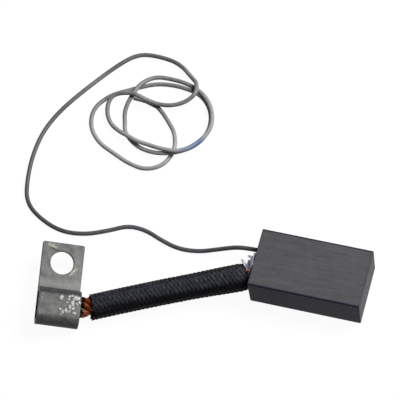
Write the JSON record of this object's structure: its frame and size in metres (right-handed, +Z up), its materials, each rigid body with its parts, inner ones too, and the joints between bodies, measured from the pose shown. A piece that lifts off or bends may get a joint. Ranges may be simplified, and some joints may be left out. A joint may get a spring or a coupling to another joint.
{
  "type": "carbon brush",
  "caption": "Rectangular graphite brush with a sleeved copper shunt to a folded bolt-on terminal, and a thin wear-sensor lead in a loose coil.",
  "frame": {"origin": "middle of the block's lower wide face, which the brush rests on", "axes": "+X from the block's middle out of its running face, +Z up out of the wide face"},
  "size_m": [0.1331, 0.1169, 0.014],
  "materials": {
    "graphite": "ground, matt, dark grey",
    "copper": "bare copper wire and powder",
    "black_sleeve": "black woven yarn",
    "glass_yarn": "loose white glass yarn",
    "tinned_copper": "dull tinned sheet",
    "solder": "dull soft solder",
    "lead_jacket": "grey wire jacket",
    "cement": "dark cement"
  },
  "bodies": {
    "root": {"brush_block": "graphite", "tamping": "copper", "shunt_rope": "copper", "insulating_sleeve": "black_sleeve", "yarn_skirt": "glass_yarn", "terminal": "tinned_copper", "barrel_solder": "solder", "sensor_tail": "lead_jacket", "sensor_cement": "cement", "sensor_lead": "lead_jacket", "sensor_lead_coil": "lead_jacket"}
  },
  "joints": []
}
